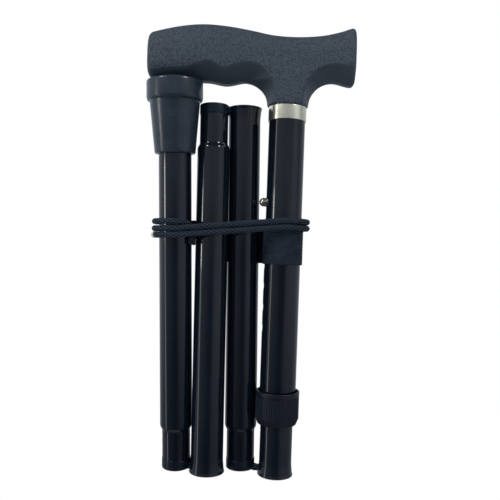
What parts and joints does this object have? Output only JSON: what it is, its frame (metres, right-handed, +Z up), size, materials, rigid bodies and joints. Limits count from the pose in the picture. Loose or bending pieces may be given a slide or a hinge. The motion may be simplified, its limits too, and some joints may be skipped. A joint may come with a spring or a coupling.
{
  "type": "folding cane",
  "caption": "Folding walking cane with a derby handle, height button, locking ring, corded tube sections, rubber tip and a wrist cord wound round the folded bundle.",
  "frame": {"origin": "on the floor under the middle of the folded cane's box, without its wrist cord", "axes": "+Z up the shaft, -X towards the handle's nose, -Y towards the front"},
  "size_m": [0.124, 0.0465, 0.2699],
  "materials": {
    "handle": "grained black",
    "band": "nickel",
    "tube": "gloss black",
    "bush": "black",
    "webbing": "woven black",
    "cord": "braided black",
    "crimp": "grey",
    "ring": "ribbed black",
    "spring": "bright",
    "plug": "natural",
    "button": "dark nickel",
    "tip": "matt black"
  },
  "bodies": {
    "shaft": {"handle_grip": "handle", "collar_band": "band", "upper_tube": "tube", "collet_bush": "bush", "strap_band": "webbing", "wrist_cord": "cord", "cord_crimp": "crimp", "cord_knot": "cord"},
    "ring": {"lock_ring": "ring"},
    "adjuster": {"adjuster_tube": "tube", "spring_clip": "spring", "cord_anchor": "plug", "shock_cord_top": "cord"},
    "button": {"snap_button": "button"},
    "bend_upper": {"cord_bend_upper": "cord"},
    "section_2": {"tube_2": "tube", "end_bush_2": "bush", "shock_cord_2": "cord"},
    "bend_middle": {"cord_bend_middle": "cord"},
    "section_3": {"tube_3": "tube", "end_bush_3": "bush", "shock_cord_3": "cord"},
    "bend_lower": {"cord_bend_lower": "cord"},
    "section_4": {"tube_4": "tube", "end_bush_4": "bush", "shock_cord_4": "cord", "cord_stop": "plug", "rubber_tip": "tip", "tip_washer": "spring"}
  },
  "joints": [
    {"name": "ring_turn", "type": "hinge", "parent": "shaft", "child": "ring", "pos_m": [0.0225, 0.00195, 0.04], "axis": [0, 0, 1], "range_deg": [0, 180]},
    {"name": "height_slide", "type": "slide", "parent": "shaft", "child": "adjuster", "axis": [0, 0, -1], "range_m": [0, 0.0762], "deforming": ["strap_band"]},
    {"name": "button_press", "type": "slide", "parent": "adjuster", "child": "button", "axis": [1, 0, 0], "range_m": [0, 0.0052], "stiffness_N_per_m": 1500, "deforming": ["spring_clip"]},
    {"name": "fold_upper", "type": "hinge", "parent": "adjuster", "child": "bend_upper", "pos_m": [0.01196, 0.00585, 0.00021], "axis": [-0.3469, -0.9379, -0.0038], "range_deg": [0, 178.83], "deforming": ["wrist_cord", "cord_crimp", "cord_knot", "cord_bend_upper"]},
    {"name": "seat_upper", "type": "slide", "parent": "bend_upper", "child": "section_2", "axis": [0.0218, 0, -0.9998], "range_m": [0, 0.0245]},
    {"name": "seat_middle", "type": "slide", "parent": "section_2", "child": "bend_middle", "axis": [0.0218, 0, -0.9998], "range_m": [0, 0.0245]},
    {"name": "fold_middle", "type": "hinge", "parent": "bend_middle", "child": "section_3", "pos_m": [-0.01253, 0.00585, 0.22162], "axis": [-0.3936, 0.9193, -0.0069], "range_deg": [0, 179.55], "deforming": ["cord_bend_middle"]},
    {"name": "seat_lower", "type": "slide", "parent": "section_3", "child": "bend_lower", "axis": [-0.0133, 0, 0.9999], "range_m": [0, 0.0245]},
    {"name": "fold_lower", "type": "hinge", "parent": "bend_lower", "child": "section_4", "pos_m": [-0.0282, 0.00465, 0.00021], "axis": [-0.2747, -0.961, -0.0314], "range_deg": [0, 179.78], "deforming": ["cord_bend_lower"]}
  ],
  "couplings": [
    {"joint": "fold_middle", "follows": "fold_upper", "ratio": 1.004},
    {"joint": "fold_lower", "follows": "fold_upper", "ratio": 1.0053},
    {"joint": "seat_middle", "follows": "seat_upper", "ratio": 1},
    {"joint": "seat_lower", "follows": "seat_upper", "ratio": 1}
  ]
}
